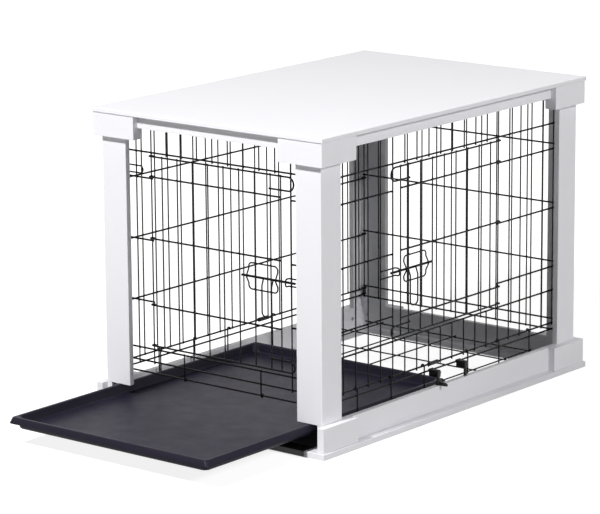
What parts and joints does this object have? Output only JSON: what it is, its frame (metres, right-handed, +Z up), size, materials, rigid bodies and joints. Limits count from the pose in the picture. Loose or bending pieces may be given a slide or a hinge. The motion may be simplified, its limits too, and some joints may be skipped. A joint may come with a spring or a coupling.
{
  "type": "pet crate",
  "caption": "Wire pet crate under a white wooden table cover, with a front door, a side door, sliding bolts and a slide-out pan.",
  "frame": {"origin": "on the floor, at the centre of the base board's outline", "axes": "+X to the side with the second door, +Y from the front to the back, +Z up"},
  "size_m": [0.588, 1.179, 0.62],
  "materials": {
    "white_board": "white satin paint",
    "black_sill": "black paint",
    "dowel_wood": "plain",
    "screw_steel": "zinc plated",
    "black_wire": "glossy black coating",
    "foot_rubber": "plain",
    "black_plastic": "satin",
    "pan_plastic": "fine grain"
  },
  "bodies": {
    "cover_and_crate": {"top_panel": "white_board", "capital_front_left": "white_board", "capital_front_right": "white_board", "capital_back_left": "white_board", "capital_back_right": "white_board", "apron_front": "white_board", "apron_back": "white_board", "apron_left": "white_board", "apron_right": "white_board", "leg_front_left": "white_board", "leg_front_right": "white_board", "leg_back_left": "white_board", "leg_back_right": "white_board", "base_board": "white_board", "rail_left": "white_board", "rail_right": "white_board", "rail_back": "white_board", "plinth_front_left": "white_board", "plinth_front_right": "white_board", "plinth_back_left": "white_board", "plinth_back_right": "white_board", "front_sill": "black_sill", "leg_dowels": "dowel_wood", "apron_dowels": "dowel_wood", "top_screws": "screw_steel", "base_screws": "screw_steel", "plinth_screws": "screw_steel", "front_panel": "black_wire", "right_panel": "black_wire", "left_panel": "black_wire", "back_panel": "black_wire", "roof_panel": "black_wire", "floor_grid": "black_wire", "corner_locks": "black_wire", "front_keeper": "black_wire", "side_keeper": "black_wire", "crate_feet": "foot_rubber", "corner_sleeves": "black_plastic", "side_clip_front": "black_plastic", "side_clip_rear": "black_plastic", "wire_sleeve": "black_plastic"},
    "pan": {"pan": "pan_plastic"},
    "front_door": {"front_door": "black_wire", "front_door_guide": "black_wire"},
    "side_door": {"side_door": "black_wire", "side_door_guide": "black_wire"},
    "front_bolt": {"front_bolt": "black_wire"},
    "side_bolt": {"side_bolt": "black_wire"},
    "front_bolt_handle": {"front_bolt_handle": "black_wire"},
    "side_bolt_handle": {"side_bolt_handle": "black_wire"},
    "clip_lever": {"clip_lever": "black_plastic"}
  },
  "joints": [
    {"name": "pan_slide", "type": "slide", "parent": "cover_and_crate", "child": "pan", "axis": [0, 1, 0], "range_m": [-0.33, 0.345]},
    {"name": "front_door_hinge", "type": "hinge", "parent": "cover_and_crate", "child": "front_door", "pos_m": [-0.1764, -0.392, 0.3355], "axis": [0, 0, -1], "range_deg": [0, 120]},
    {"name": "side_door_hinge", "type": "hinge", "parent": "cover_and_crate", "child": "side_door", "pos_m": [0.2548, 0.1764, 0.3525], "axis": [0, 0, 1], "range_deg": [0, 150]},
    {"name": "front_bolt_slide", "type": "slide", "parent": "front_door", "child": "front_bolt", "axis": [-1, 0, 0], "range_m": [0, 0.025]},
    {"name": "side_bolt_slide", "type": "slide", "parent": "side_door", "child": "side_bolt", "axis": [0, 1, 0], "range_m": [0, 0.025]},
    {"name": "front_handle_turn", "type": "hinge", "parent": "front_bolt", "child": "front_bolt_handle", "pos_m": [0.127, -0.39808, 0.3225], "axis": [-1, 0, 0], "range_deg": [0, 90]},
    {"name": "side_handle_turn", "type": "hinge", "parent": "side_bolt", "child": "side_bolt_handle", "pos_m": [0.26088, -0.127, 0.3145], "axis": [0, -1, 0], "range_deg": [0, 90]},
    {"name": "clip_lever_turn", "type": "hinge", "parent": "cover_and_crate", "child": "clip_lever", "pos_m": [0.269, -0.046, 0.066], "axis": [0, 0, 1], "range_deg": [0, 90]}
  ]
}
